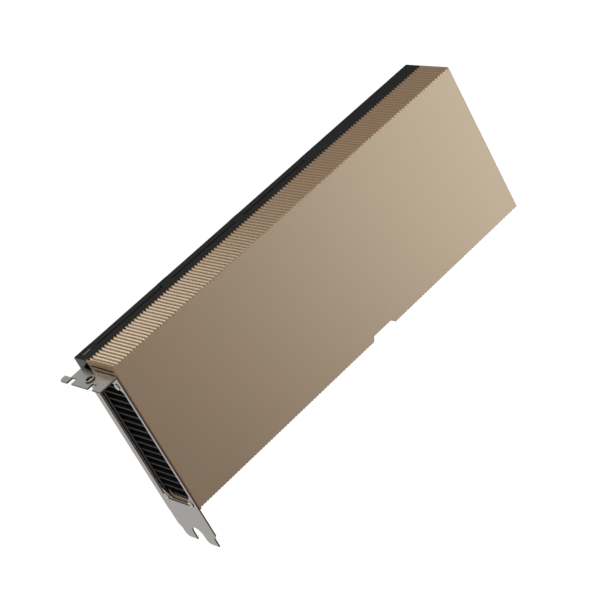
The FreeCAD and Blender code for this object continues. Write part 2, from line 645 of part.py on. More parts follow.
def build_bracket():
    body = new_body("slot_bracket")
    sheet_size, joggle = S("bracket_sheet"), S("bracket_joggle")
    bend = f"({TIP} + {S('bend_rise')})"
    last_tongue = f"({S('tongue_back')} + {S('slot_pitch')} + {S('tongue_width')})"
    step = f"({S('bracket_back')} + {S('bracket_step')})"
    outline = [(FLANGE, S("flange_back")), (f"{FLANGE} - {S('relief')}", S("flange_back")),
               (f"{FLANGE} - {S('relief')}", S("bracket_back")),
               (f"{TIP} + {S('step_rise')}", S("bracket_back")),
               (f"{TIP} + {S('step_rise')}", step), (f"{TIP} + {S('shoulder_rise')}", step),
               (f"{TIP} + {S('neck_rise')}", S("tongue_back")), (bend, S("tongue_back")), (bend, last_tongue),
               (f"{TIP} + {S('neck_rise')}", last_tongue),
               (f"{TIP} + {S('shoulder_rise')}", S("bracket_front")),
               (FLANGE, S("bracket_front"))]
    pad(body, "BracketPlate", "YZ_Plane", NEAR, sheet_size, [outline])

    # the flange, bent outward, with its open slots and the hook that reaches past the back edge
    out = f"({NEAR} - {S('flange_reach')})"
    hook_in = f"({out} + {S('flange_hook_depth')})"
    slot_in = f"({out} + {S('flange_slot_depth')})"
    half = f"{S('flange_slot_width')} / 2"
    flange = [(f"{NEAR} + {sheet_size}", S("flange_back")), (hook_in, S("flange_back")),
              (hook_in, f"-{S('flange_hook_drop')}"),
              (f"{out} + {S('flange_hook_bevel')}", f"-{S('flange_hook_drop')}"),
              (out, f"-{S('flange_hook_drop')} + {S('flange_hook_bevel')}")]
    for n in range(2):
        level = f"({S('flange_slot_level')} + {n} * {S('slot_pitch')})"
        flange += [(out, f"{level} - {half}"), (slot_in, f"{level} - {half}"),
                   (slot_in, f"{level} + {half}"), (out, f"{level} + {half}")]
    flange += [(out, S("bracket_front")), (f"{NEAR} + {sheet_size}", S("bracket_front"))]
    pad(body, "BracketFlange", "XZ_Plane", f"-{FLANGE}", sheet_size, [flange])
    hole = (f"{NEAR} - {S('flange_hole_reach')}", S("flange_hole_level"))
    pad(body, "FlangeCollar", "XZ_Plane", f"-{FLANGE} - {S('flange_collar_rise')}",
        f"{S('flange_collar_rise')} + {sheet_size}", circles=[(*hole, S("flange_collar_radius"))])
    pocket(body, "FlangeHole", "XZ_Plane", f"-{FLANGE} - 1", f"2 + {sheet_size}",
           circles=[(*hole, S("flange_hole_radius"))])

    first = pad(body, "BracketTongue", "YZ_Plane", NEAR, sheet_size,
                [rectangle((TIP, bend), (S("tongue_back"), f"{S('tongue_back')} + {S('tongue_width')}"))])
    row_of(body, first, "BracketTongues", "Z_Axis", "2", S("slot_pitch"))
    middle = f"({S('tongue_back')} + ({S('tongue_width')} + {S('slot_pitch')}) / 2)"
    pocket(body, "TongueNotch", "YZ_Plane", f"{NEAR} - 1", f"{sheet_size} + 2",
           circles=[(bend, middle, f"({S('slot_pitch')} - {S('tongue_width')}) / 2")])
    tip = value(TIP)
    backs = [value(S("tongue_back")) + n * value(S("slot_pitch")) for n in range(2)]
    rounded(body, "TongueRounds", S("tongue_round"),
            lambda p, t: near(p.y, tip) and near(abs(t.x), 1) and any(near(p.z, z) for z in backs))

    # the window: its rim is pressed in by a joggle and ends in four screw tabs
    head, foot = WINDOW_HEAD, WINDOW_FOOT
    back, front = S("window_back"), S("window_front")
    pocket(body, "WindowOpening", "YZ_Plane", f"{NEAR} - 1", f"{sheet_size} + 2",
           [rectangle((foot, head), (back, front))])
    corners = [(value(y), value(z)) for y in (head, foot) for z in (back, front)]
    rounded(body, "WindowRounds", S("window_round"),
            lambda p, t: near(abs(t.x), 1) and any(near(p.y, y) and near(p.z, z) for y, z in corners))
    pad(body, "WindowLip", "YZ_Plane", f"{NEAR} + {joggle}", sheet_size,
        [rectangle((f"{foot} - {sheet_size}", f"{head} + {sheet_size}"),
                   (f"{back} - {sheet_size}", f"{front} + {sheet_size}")), tab_opening()],
        [(y, z, S("end_hole_radius")) for y in (SCREW_TOP, SCREW_BOTTOM)
         for z in (S("end_screw_low"), S("end_screw_high"))])
    return body


def tab_opening():
    """The clear opening inside the lip: a rectangle with its corners cut off by the screw tabs."""
    lip, leg = S("lip_width"), S("tab_leg")
    high = f"({WINDOW_HEAD} - {lip})"
    low = f"({WINDOW_FOOT} + {lip})"
    back, front = f"({S('window_back')} + {lip})", f"({S('window_front')} - {lip})"
    return [(f"{low} + {leg}", back), (f"{high} - {leg}", back), (high, f"{back} + {leg}"),
            (high, f"{front} - {leg}"), (f"{high} - {leg}", front), (f"{low} + {leg}", front),
            (low, f"{front} - {leg}"), (low, f"{back} + {leg}")]


# ---------------------------------------------------------------- heatsink and what it cools

def build_heatsink():
    body = new_body("heatsink")
    pad(body, "HeatsinkBase", "XY_Plane", S("base_level"), S("base_thickness"),
        [rectangle((HEATSINK_START, HEATSINK_END), (HEATSINK_BOTTOM, HEATSINK_TOP))])
    fin = pad(body, "HeatsinkFin", "XY_Plane", S("base_level"),
              f"{CEILING} - {S('fin_top_gap')} - {S('base_level')}",
              [rectangle((HEATSINK_START, HEATSINK_END),
                         (HEATSINK_BOTTOM, f"{HEATSINK_BOTTOM} + {S('fin_thickness')}"))])
    row_of(body, fin, "HeatsinkFins", "Y_Axis", S("fin_count"),
           f"{HEATSINK_TOP} - {HEATSINK_BOTTOM} - {S('fin_thickness')}")
    pocket(body, "HeatsinkWell", "XY_Plane", f"{S('base_level')} - 1",
           f"{S('well_roof')} - {S('base_level')} + 1",
           [rectangle((WELL_START, WELL_END), (f"-{WELL_SIDE}", WELL_SIDE))])
    clear = f"({BODY_START} + {S('boss_length')} + {S('fit_gap')})"
    pocket(body, "BossRoom", "XY_Plane", f"{S('base_level')} - 1", f"{FRONT}",
           [rectangle((f"{HEATSINK_START} - 1", clear),
                      (f"{SCREW_TOP} - {S('boss_margin')} - {S('fit_gap')}", f"{HEATSINK_TOP} + 1"))])
    return body


def build_cooling():
    gap = S("fit_gap")
    plate = box("SpreaderPlate", (f"{WELL_START} + {gap}", f"{WELL_END} - {gap}"),
                (f"-{WELL_SIDE} + {gap}", f"{WELL_SIDE} - {gap}"),
                (S("spreader_level"), S("well_roof")))
    half = f"({S('package_size')} / 2 - {S('stiffener_width')} - 2 * {gap})"
    foot = box("SpreaderFoot", (f"{PACKAGE_X} - {half}", f"{PACKAGE_X} + {half}"), (f"-{half}", half),
               (f"{DIE_TOP} + {S('interface_thickness')}", f"{S('spreader_level')} + {gap}"))
    fused("heat_spreader", plate, foot)
    box("die_interface", (f"{PACKAGE_X} - {half}", f"{PACKAGE_X} + {half}"), (f"-{half}", half),
        (DIE_TOP, f"{DIE_TOP} + {S('interface_thickness')}"))


def build_package():
    side = f"({S('package_size')} / 2)"
    top = f"({BOARD_FRONT} + {S('substrate_thickness')})"
    box("processor_substrate", (f"{PACKAGE_X} - {side}", f"{PACKAGE_X} + {side}"), (f"-{side}", side),
        (BOARD_FRONT, top))
    half = f"({S('die_length')} / 2)"
    inner = f"({side} - {S('stiffener_width')})"
    box("processor_die", (f"{PACKAGE_X} - {half}", f"{PACKAGE_X} + {half}"),
        (f"-{S('die_width')} / 2", f"{S('die_width')} / 2"), (top, DIE_TOP))
    stacks = []
    for column, sign in enumerate("-+"):
        near_die = f"({PACKAGE_X} {sign} ({half} + {S('stack_gap')}))"
        near_rim = f"({PACKAGE_X} {sign} ({inner} - {S('stack_clearance')}))"
        span = (near_rim, near_die) if sign == "-" else (near_die, near_rim)
        for n in (-1, 0, 1):
            middle = f"({n} * ({S('stack_width')} + {S('stack_gap')}))"
            across = (f"{middle} - {S('stack_width')} / 2", f"{middle} + {S('stack_width')} / 2")
            stacks.append(box(f"Stack{column}{n + 1}", span, across, (top, DIE_TOP)))
    group("memory_stacks", stacks)
    frame = new_body("stiffener_frame")
    pad(frame, "StiffenerRing", "XY_Plane", top, S("stiffener_thickness"),
        [rectangle((f"{PACKAGE_X} - {side}", f"{PACKAGE_X} + {side}"), (f"-{side}", side)),
         rectangle((f"{PACKAGE_X} - {inner}", f"{PACKAGE_X} + {inner}"), (f"-{inner}", inner))])


def row_of_blocks(name, offset, length, width, height):
    """Two rows of like components either side of the package."""
    body = new_body(name)
    start = f"(-{ROW_LENGTH} / 2 - {width} / 2)"
    middles = [f"{PACKAGE_X} {sign} {offset}" for sign in "-+"]
    outlines = [rectangle((f"{middle} - {length} / 2", f"{middle} + {length} / 2"),
                          (start, f"{start} + {width}")) for middle in middles]
    block = pad(body, f"{name}_pair", "XY_Plane", BOARD_FRONT, height, outlines)
    row_of(body, block, f"{name}_rows", "Y_Axis", S("inductor_count"), ROW_LENGTH)


def build_regulators():
    row_of_blocks("inductors", S("inductor_offset"), S("inductor_size"), S("inductor_size"),
                  S("inductor_height"))
    row_of_blocks("power_stages", S("stage_offset"), S("stage_length"), S("stage_width"), S("stage_height"))
    row_of_blocks("capacitors", S("capacitor_offset"), S("capacitor_length"), S("capacitor_width"),
                  S("capacitor_height"))
    half_row = f"(({ROW_LENGTH} + {S('inductor_size')}) / 2)"
    pads = []
    for offset, length, height in ((S("inductor_offset"), S("inductor_size"), S("inductor_height")),
                                   (S("stage_offset"), S("stage_length"), S("stage_height"))):
        for sign in "-+":
            middle = f"{PACKAGE_X} {sign} {offset}"
            pads.append(box(f"Pad{len(pads)}", (f"({middle} - {length} / 2)", f"({middle} + {length} / 2)"),
                            (f"-{half_row}", half_row), (f"({BOARD_FRONT} + {height})", S("spreader_level"))))
    group("thermal_pads", pads)


# ---------------------------------------------------------------- power header

def build_power_header():
    body = new_body("power_header")
    middle = f"({TOP} - {S('header_place')})"
    back = f"({FAR} - {S('header_depth')})"
    top = f"({BOARD_FRONT} + {S('header_height')})"
    half = f"({S('header_width')} / 2)"
    pad(body, "HeaderBlock", "YZ_Plane", back, S("header_depth"),
        [rectangle((f"{middle} - {half}", f"{middle} + {half}"), (BOARD_FRONT, top))])
    cells = []
    pins = []
    for column in range(4):
        for layer in range(2):
            y = f"({middle} + {column - 1.5} * {S('header_pitch')})"
            z = f"({BOARD_FRONT} + {S('header_height')} / 2 + {layer - 0.5} * {S('header_pitch')})"
            cell, pin = f"{S('header_cell')} / 2", f"{S('pin_size')} / 2"
            cells.append(rectangle((f"{y} - {cell}", f"{y} + {cell}"), (f"{z} - {cell}", f"{z} + {cell}")))
            pins.append(rectangle((f"{y} - {pin}", f"{y} + {pin}"), (f"{z} - {pin}", f"{z} + {pin}")))
    floor = f"({FAR} - {S('header_cell_depth')})"
    pocket(body, "HeaderCells", "YZ_Plane", floor, f"{S('header_cell_depth')} + 1", cells)
    pin_body = new_body("power_pins")
    pad(pin_body, "PinRows", "YZ_Plane", floor, S("pin_length"), pins)


# ---------------------------------------------------------------- screws

def screw_shape(radius, length, head_radius, head_height):
    """A cheese-head screw along +Z, the head's underside at zero."""
    shank = Part.makeCylinder(radius, length)
    head = Part.makeCylinder(head_radius, head_height, Vector(0, 0, -head_height))
    return shank.fuse(head)


def with_socket(screw, head_height, socket):
    """The screw with a hexagon socket in its head."""
    corners = [Vector(socket * math.cos(math.pi * n / 3), socket * math.sin(math.pi * n / 3), -head_height)
               for n in range(7)]
    recess = Part.Face(Part.makePolygon(corners)).extrude(Vector(0, 0, head_height * 0.6))
    return screw.cut(recess)


def screws(name, shape, places, turn=(Vector(0, 0, 1), 0)):
    """One node of like screws at several places."""
    copies = []
    for x, y, z in places:
        copy = shape.copy()
        copy.Placement = FreeCAD.Placement(Vector(value(x), value(y), value(z)), FreeCAD.Rotation(*turn))
        copies.append(copy)
    feature = doc.addObject("Part::Feature", name)
    feature.Shape = Part.makeCompound(copies)
    return feature


def build_screws():
    end_screw = screw_shape(value(S("end_hole_radius")) - value(S("thread_gap")),
                            value(f"{S('bracket_sheet')} + {S('end_hole_depth')} - {S('fit_gap')}"),
                            value(S("end_head_radius")), value(S("end_head_height")))
    end_screw = with_socket(end_screw, value(S("end_head_height")), value(S("end_socket")))
    places = [(f"{NEAR} + {S('bracket_joggle')}", y, z) for y in (SCREW_TOP, SCREW_BOTTOM)
              for z in (S("end_screw_low"), S("end_screw_high"))]
    screws("bracket_screws", end_screw, places, ALONG_X)
    upper, lower = back_screw_places()
    back_screw = screw_shape(value(S("back_screw_radius")),
                             value(f"{S('back_screw_length')} - {S('back_head_height')}"),
                             value(S("back_head_radius")), value(S("back_head_height")))
    screws("backplate_screws", back_screw, [(x, y, S("back_head_height")) for x, y in upper + lower])


SUB_PARTS = """cover backplate link_cap_1 link_cap_2 link_cap_3 slot_bracket bracket_screws circuit_board
    edge_contacts upper_rail lower_rail heatsink heat_spreader die_interface processor_substrate processor_die
    memory_stacks stiffener_frame inductors power_stages capacitors thermal_pads power_header power_pins
    backplate_screws""".split()

build_cover()
build_rails()
build_backplate()
build_link_caps()
build_board()
build_contacts()
build_bracket()
build_heatsink()
build_cooling()
build_package()
build_regulators()
build_power_header()
build_screws()
doc.recompute()

for thing in doc.Objects:
    if "Invalid" in thing.State or "Error" in thing.State:
        raise RuntimeError(f"{thing.Name} failed: {thing.State}")

os.makedirs("parts", exist_ok=True)
for name in SUB_PARTS:
    piece = next(o for o in doc.Objects if o.Label == name)
    if piece.Shape.isNull() or not piece.Shape.isValid():
        raise RuntimeError(f"{name} has no valid shape")
    piece.Shape.exportStep(f"parts/{name}.step")
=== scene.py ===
import json
import math

import bmesh
import bpy
from mathutils import Matrix, Vector


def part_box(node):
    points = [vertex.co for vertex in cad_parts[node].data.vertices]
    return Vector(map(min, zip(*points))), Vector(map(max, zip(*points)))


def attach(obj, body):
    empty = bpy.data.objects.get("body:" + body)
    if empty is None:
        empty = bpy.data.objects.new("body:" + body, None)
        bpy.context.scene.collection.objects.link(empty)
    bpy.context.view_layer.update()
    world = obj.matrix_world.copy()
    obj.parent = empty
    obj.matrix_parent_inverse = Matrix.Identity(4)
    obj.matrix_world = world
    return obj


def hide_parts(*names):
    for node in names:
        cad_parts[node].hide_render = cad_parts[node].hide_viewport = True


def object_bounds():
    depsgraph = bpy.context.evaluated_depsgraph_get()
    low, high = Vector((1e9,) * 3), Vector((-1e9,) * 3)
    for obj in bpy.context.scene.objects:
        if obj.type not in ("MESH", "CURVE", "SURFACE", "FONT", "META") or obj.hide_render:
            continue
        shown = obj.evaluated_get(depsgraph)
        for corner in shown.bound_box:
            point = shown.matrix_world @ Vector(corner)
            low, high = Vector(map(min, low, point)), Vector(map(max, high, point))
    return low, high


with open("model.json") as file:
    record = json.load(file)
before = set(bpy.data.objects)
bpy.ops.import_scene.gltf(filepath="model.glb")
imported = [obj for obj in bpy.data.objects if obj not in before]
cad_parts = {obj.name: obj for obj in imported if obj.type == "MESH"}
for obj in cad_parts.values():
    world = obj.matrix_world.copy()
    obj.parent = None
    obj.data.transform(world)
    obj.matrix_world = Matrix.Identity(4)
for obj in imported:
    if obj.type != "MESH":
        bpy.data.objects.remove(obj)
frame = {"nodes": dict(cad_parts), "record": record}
cad_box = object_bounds()

MM = 0.001
MERGE = 0.002 * MM      # corners nearer than this are one corner


def put(name, data):
    """A new object in the scene."""
    thing = bpy.data.objects.new(name, data)
    bpy.context.scene.collection.objects.link(thing)
    return thing


# ---------------------------------------------------------------- camera

EYE = Vector((-0.501098, 0.535519, 0.963639))
RIGHT = Vector((0.6701309, -0.4375492, 0.5995626))
UP = Vector((0.6181909, 0.7760938, -0.1245734))
BACK = Vector((-0.4108098, 0.4541246, 0.7905733))
SENSOR_WIDTH, FOCAL_LENGTH = 36.0, 130.261      # in mm
CLIP_START, CLIP_END = 0.05, 20.0               # in metres


def make_camera():
    data = bpy.data.cameras.new("camera")
    data.sensor_width = SENSOR_WIDTH
    data.lens = FOCAL_LENGTH
    data.clip_start = CLIP_START
    data.clip_end = CLIP_END
    camera = put("camera", data)
    turn = Matrix((RIGHT, UP, BACK)).transposed().to_4x4()
    camera.matrix_world = Matrix.Translation(EYE) @ turn
    bpy.context.scene.camera = camera


# ---------------------------------------------------------------- light

# name: place, width and height, power in watts, colour
LIGHTS = {
    "far_light": ((1.75, -0.92, 1.45), (1.5, 1.5), 18.2, (0.80, 1.05, 1.23)),
    "overhead_light": ((-0.7, 1.1, 1.2), (1.8, 1.4), 6.0, (1.0, 1.0, 1.0)),
    "edge_light": ((0.48, 0.50, 0.28), (0.30, 0.30), 0.85, (0.80, 1.0, 1.12)),
    "low_light": ((-0.25, 0.11, -0.20), (0.17, 0.20), 0.20, (0.80, 1.03, 1.18)),
}
LIGHT_TARGET = Vector((0.0, 0.0, 0.02))

# The surround, by direction. Each ramp: from, to, value there at first and at last.
TINT_BELOW, TINT_ABOVE = (0.97, 0.96, 0.93, 1.0), (1.0, 0.83, 0.73, 1.0)
CARD_ACROSS = (0.28, 0.60, 1.06, 0.34)
CARD_ALONG = (-0.35, 0.15, 0.60, 0.56)
LEVEL_ABOVE = (-0.90, 0.10, 0.65, 0.19)
BELOW_TO_ABOVE = (-0.25, 0.15, 0.0, 1.0)


def soft_light(name, place, size, power, colour):
    data = bpy.data.lights.new(name, "AREA")
    data.color = colour
    data.shape = "RECTANGLE"
    data.size, data.size_y = size
    data.energy = power
    light = put(name, data)
    light.location = place
    light.rotation_mode = "QUATERNION"
    light.rotation_quaternion = (LIGHT_TARGET - light.location).to_track_quat("-Z", "Y")


def light_only(light_name, piece):
    """Let one light fall on one piece alone."""
    lit = bpy.data.collections.new(light_name + "_falls_on")
    lit.objects.link(piece)
    bpy.data.objects[light_name].light_linking.receiver_collection = lit


def ramp(tree, value, start, end, first, last):
    """A value that runs smoothly from first to last while another runs from start to end."""
    node = tree.nodes.new("ShaderNodeMapRange")
    node.interpolation_type = "SMOOTHSTEP"
    node.inputs["From Min"].default_value = start
    node.inputs["From Max"].default_value = end
    node.inputs["To Min"].default_value = first
    node.inputs["To Max"].default_value = last
    tree.links.new(value, node.inputs["Value"])
    return node.outputs["Result"]


def product(tree, first, second):
    node = tree.nodes.new("ShaderNodeMath")
    node.operation = "MULTIPLY"
    tree.links.new(first, node.inputs[0])
    tree.links.new(second, node.inputs[1])
    return node.outputs["Value"]


def make_world():
    """White behind the object; round it dim above, and below a broad soft card."""
    world = bpy.data.worlds.new("studio")
    world.use_nodes = True
    tree = world.node_tree
    link = tree.links.new
    around = tree.nodes["Background"]
    white = tree.nodes.new("ShaderNodeBackground")
    white.inputs["Color"].default_value = (1.0, 1.0, 1.0, 1.0)
    way = tree.nodes.new("ShaderNodeTexCoord")
    parts = tree.nodes.new("ShaderNodeSeparateXYZ")
    level = tree.nodes.new("ShaderNodeMix")
    level.data_type = "FLOAT"
    tint = tree.nodes.new("ShaderNodeMix")
    tint.data_type = "RGBA"
    tint.inputs["A"].default_value = TINT_BELOW
    tint.inputs["B"].default_value = TINT_ABOVE
    path = tree.nodes.new("ShaderNodeLightPath")
    choice = tree.nodes.new("ShaderNodeMixShader")
    link(way.outputs["Generated"], parts.inputs["Vector"])
    x, y, z = (parts.outputs[axis] for axis in "XYZ")
    above = ramp(tree, z, *BELOW_TO_ABOVE)
    link(above, level.inputs["Factor"])
    link(above, tint.inputs["Factor"])
    link(tint.outputs["Result"], around.inputs["Color"])
    link(product(tree, ramp(tree, x, *CARD_ACROSS), ramp(tree, y, *CARD_ALONG)), level.inputs["A"])
    link(ramp(tree, x, *LEVEL_ABOVE), level.inputs["B"])
    link(level.outputs["Result"], around.inputs["Strength"])
    link(path.outputs["Is Camera Ray"], choice.inputs["Fac"])
    link(around.outputs["Background"], choice.inputs[1])
    link(white.outputs["Background"], choice.inputs[2])
    link(choice.outputs["Shader"], tree.nodes["World Output"].inputs["Surface"])
    bpy.context.scene.world = world


# ---------------------------------------------------------------- materials

NOISE_DETAIL = 3.0
ROUGHNESS_SWING = 0.10
RELIEF_HEIGHT = 0.05 * MM


def new_group(name, takes, gives):
    """An empty node group with the named sockets; returns it with its input and output nodes."""
    group = bpy.data.node_groups.new(name, "ShaderNodeTree")
    for word, kind, number in takes:
        socket = group.interface.new_socket(word, in_out="INPUT", socket_type=kind)
        socket.default_value = number
    for word, kind in gives:
        group.interface.new_socket(word, in_out="OUTPUT", socket_type=kind)
    return group, group.nodes.new("NodeGroupInput"), group.nodes.new("NodeGroupOutput")


def grain_group():
    """Fine grain: varies a colour and a roughness a little and gives a fine relief."""
    group, given, made = new_group("fine_grain", [
        ("Colour", "NodeSocketColor", (0.5, 0.5, 0.5, 1.0)), ("Contrast", "NodeSocketFloat", 0.1),
        ("Roughness", "NodeSocketFloat", 0.4), ("Grain", "NodeSocketFloat", 2000.0),
        ("Relief", "NodeSocketFloat", 0.2), ("Stretch", "NodeSocketVector", (1.0, 1.0, 1.0))],
        [("Colour", "NodeSocketColor"), ("Roughness", "NodeSocketFloat"), ("Normal", "NodeSocketVector")])
    new, link = group.nodes.new, group.links.new
    place, scale, noise = new("ShaderNodeTexCoord"), new("ShaderNodeMapping"), new("ShaderNodeTexNoise")
    noise.inputs["Detail"].default_value = NOISE_DETAIL
    swing, double = new("ShaderNodeMath"), new("ShaderNodeMath")
    swing.operation, double.operation = "SUBTRACT", "MULTIPLY"
    swing.inputs[1].default_value = 0.5
    double.inputs[1].default_value = 2.0
    tint, rough = new("ShaderNodeMath"), new("ShaderNodeMath")
    tint.operation = rough.operation = "MULTIPLY_ADD"
    tint.inputs[2].default_value = 1.0
    rough.inputs[1].default_value = ROUGHNESS_SWING
    shade = new("ShaderNodeVectorMath")
    shade.operation = "SCALE"
    relief = new("ShaderNodeBump")
    relief.inputs["Distance"].default_value = RELIEF_HEIGHT
    link(place.outputs["Object"], scale.inputs["Vector"])
    link(given.outputs["Stretch"], scale.inputs["Scale"])
    link(scale.outputs["Vector"], noise.inputs["Vector"])
    link(given.outputs["Grain"], noise.inputs["Scale"])
    link(noise.outputs["Fac"], swing.inputs[0])
    link(given.outputs["Contrast"], double.inputs[0])
    link(swing.outputs["Value"], tint.inputs[0])
    link(double.outputs["Value"], tint.inputs[1])
    link(swing.outputs["Value"], rough.inputs[0])
    link(given.outputs["Roughness"], rough.inputs[2])
    link(given.outputs["Colour"], shade.inputs[0])
    link(tint.outputs["Value"], shade.inputs["Scale"])
    link(noise.outputs["Fac"], relief.inputs["Height"])
    link(given.outputs["Relief"], relief.inputs["Strength"])
    link(shade.outputs["Vector"], made.inputs["Colour"])
    link(rough.outputs["Value"], made.inputs["Roughness"])
    link(relief.outputs["Normal"], made.inputs["Normal"])
    return group


def new_material(name):
    material = bpy.data.materials.new(name)
    material.use_nodes = True
    tree = material.node_tree
    return material, tree, tree.nodes["Principled BSDF"]


def grained(name, colour, metallic, roughness, grain, contrast, relief, shine=0.5, stretch=(1.0, 1.0, 1.0)):
    """A finish whose colour and roughness vary with the fine grain."""
    material, tree, surface = new_material(name)
    finish = tree.nodes.new("ShaderNodeGroup")
    finish.node_tree = GRAIN
    finish.inputs["Colour"].default_value = (*colour, 1.0)
    finish.inputs["Contrast"].default_value = contrast
    finish.inputs["Roughness"].default_value = roughness
    finish.inputs["Grain"].default_value = grain
    finish.inputs["Relief"].default_value = relief
    finish.inputs["Stretch"].default_value = stretch
    tree.links.new(finish.outputs["Colour"], surface.inputs["Base Color"])
    tree.links.new(finish.outputs["Roughness"], surface.inputs["Roughness"])
    tree.links.new(finish.outputs["Normal"], surface.inputs["Normal"])
    surface.inputs["Metallic"].default_value = metallic
    surface.inputs["Specular IOR Level"].default_value = shine
    return material


def make_materials():
    """A finish for each slot of the record, and more: darker copies that paint shade on the cover's ends and
    grooves and on the bracket's sheared edges, a lighter copy that paints sheen on the backplate's ends, a
    grey that paints a highlight at the heatsink base, and one for screws.
    """
    along_y = (1.0, 0.06, 1.0)
    # each: name, colour, metallic, roughness, grain, contrast, relief, and shine where it isn't 0.5
    return {
        "cover": grained("bronze_anodised", (0.50, 0.336, 0.218), 1.0, 0.42, 5200.0, 0.08, 0.10),
        # painted shade: a darker copy of the bronze for the cover's end faces, which face along X
        "cover_end_painted_shade": grained("bronze_painted_shade_end", (0.40, 0.27, 0.165), 1.0, 0.52, 3000.0, 0.06, 0.05),
        # painted shade: a slightly darker, glossier copy of the bronze for the groove flanks
        "cover_groove_painted_shade": grained("bronze_painted_shade_groove", (0.45, 0.305, 0.198), 1.0, 0.37, 4000.0, 0.06, 0.05),
        "black_metal": grained("black_paint", (0.005, 0.0055, 0.0075), 0.0, 0.55, 3000.0, 0.2, 0.3, 0.22),
        "black_plastic": grained("black_moulding", (0.006, 0.007, 0.007), 0.0, 0.50, 2200.0, 0.2, 0.3, 0.2),
        # painted sheen: a lighter, shinier copy of the black paint for the backplate's end faces
        "black_end_painted_sheen": grained("black_paint_painted_sheen", (0.010, 0.010, 0.011), 0.0, 0.38, 3000.0, 0.1, 0.1, 0.9),
        "black_screw": grained("black_zinc", (0.10, 0.10, 0.105), 1.0, 0.30, 3000.0, 0.1, 0.1),
        # painted highlight: a grey lighter than the fins, for the line of light along the heatsink base's end
        "base_end_painted_highlight": grained("grey_painted_highlight", (0.085, 0.090, 0.098), 0.0, 0.45, 3000.0, 0.1, 0.1),
        "steel": grained("nickel_steel", (0.55, 0.535, 0.53), 1.0, 0.33, 1500.0, 0.06, 0.15, stretch=along_y),
        # painted shade: a dark brown for the bracket's thin sheet edges, which stands in for their shade and
        # dark reflection
        "painted_shade_edge": grained("steel_painted_shade_edge", (0.10, 0.085, 0.07), 1.0, 0.50, 2500.0, 0.15, 0.10),
        "bright_steel": grained("polished_steel", (0.75, 0.74, 0.72), 1.0, 0.20, 3000.0, 0.04, 0.10),
        "fins": grained("black_anodised", (0.008, 0.009, 0.011), 0.0, 0.50, 3600.0, 0.2, 0.2, 0.2),
        "copper": grained("flashed_copper", (0.66, 0.42, 0.30), 1.0, 0.35, 1800.0, 0.08, 0.15),
        "board": grained("solder_mask", (0.008, 0.022, 0.014), 0.0, 0.35, 900.0, 0.25, 0.20),
        "gold": grained("gold_plate", (0.80, 0.55, 0.20), 1.0, 0.28, 2500.0, 0.05, 0.10),
        "ceramic": grained("component_body", (0.03, 0.03, 0.03), 0.0, 0.55, 2500.0, 0.25, 0.30),
        "silicon": grained("polished_silicon", (0.06, 0.06, 0.07), 0.5, 0.15, 800.0, 0.05, 0.05),
        "pad": grained("thermal_pad", (0.20, 0.24, 0.28), 0.0, 0.80, 1500.0, 0.15, 0.40),
    }


def dress_nodes():
    for part in frame["record"]["subparts"]:
        node = frame["nodes"][part["node"]]
        node.data.materials.clear()
        node.data.materials.append(MATERIALS[part["material_slot"]])


def refinish(piece, finish, test):
    """Give the faces whose direction passes the test another material; here that paints shade or sheen by the
    way a face looks.
    """
    piece.data.materials.append(MATERIALS[finish])
    last = len(piece.data.materials) - 1
    for face in piece.data.polygons:
        if test(face.normal):
            face.material_index = last


def shade_bracket_edges(piece):
    """Give the thin edges of the bent sheet the duller roughness of a sheared edge, and a dark brown that
    paints the shade and dark reflection they show.
    """
    plate_x, flange_x, flange_y = -132.9 * MM, -134.0 * MM, 41.0 * MM
    edge_on = 0.5
    # painted shade: the thin edges get the dark brown in place of lit steel
    piece.data.materials.append(MATERIALS["painted_shade_edge"])
    for face in piece.data.polygons:
        on_flange = face.center.x < flange_x and face.center.y > flange_y
        across = face.normal.y if on_flange else face.normal.x
        if abs(across) < edge_on and (on_flange or face.center.x < plate_x):
            face.material_index = 1


# ---------------------------------------------------------------- pieces

FLAT_TURN = math.radians(0.6)       # faces that turn less than this are one face
SHARP_TURN = math.radians(28.0)     # edges that turn more than this are rounded
MOSTLY, PARTLY = 0.7, 0.3           # how far a face's direction leans along an axis


def new_piece(name, mesh, material_slot, *nodes, finish=None):
    piece = put(name, mesh)
    mesh.materials.clear()
    mesh.materials.append(MATERIALS[finish or material_slot])
    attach(piece, "root")
    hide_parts(*nodes)
    return piece


def mesh_of(work, name):
    """The work as a named mesh. The work is used up."""
    mesh = bpy.data.meshes.new(name)
    work.to_mesh(mesh)
    work.free()
    return mesh


def settled(thing):
    """The mesh that the object has with its modifiers, as plain mesh data."""
    graph = bpy.context.evaluated_depsgraph_get()
    return bpy.data.meshes.new_from_object(thing.evaluated_get(graph))


def boxes_of(node):
    """The box of each separate solid in the node's mesh."""
    work = bmesh.new()
    work.from_mesh(node.data)
    bmesh.ops.remove_doubles(work, verts=work.verts, dist=MERGE)
    left, boxes = set(work.verts), []
    while left:
        found, edge = set(), {left.pop()}
        while edge:
            found |= edge
            edge = {other.other_vert(v) for v in edge for other in v.link_edges} - found
        left -= found
        places = [node.matrix_world @ v.co for v in found]
        boxes.append([Vector(f(p[i] for p in places) for i in range(3)) for f in (min, max)])
    work.free()
    return sorted(boxes, key=lambda box: (box[0].x, box[0].z))


def cuboid(name, low, high):
    """A cuboid between two corners, in mm."""
    work = bmesh.new()
    for vert in bmesh.ops.create_cube(work, size=1.0)["verts"]:
        vert.co = [MM * (a + (b - a) * (c + 0.5)) for a, b, c in zip(low, high, vert.co)]
    return mesh_of(work, name)


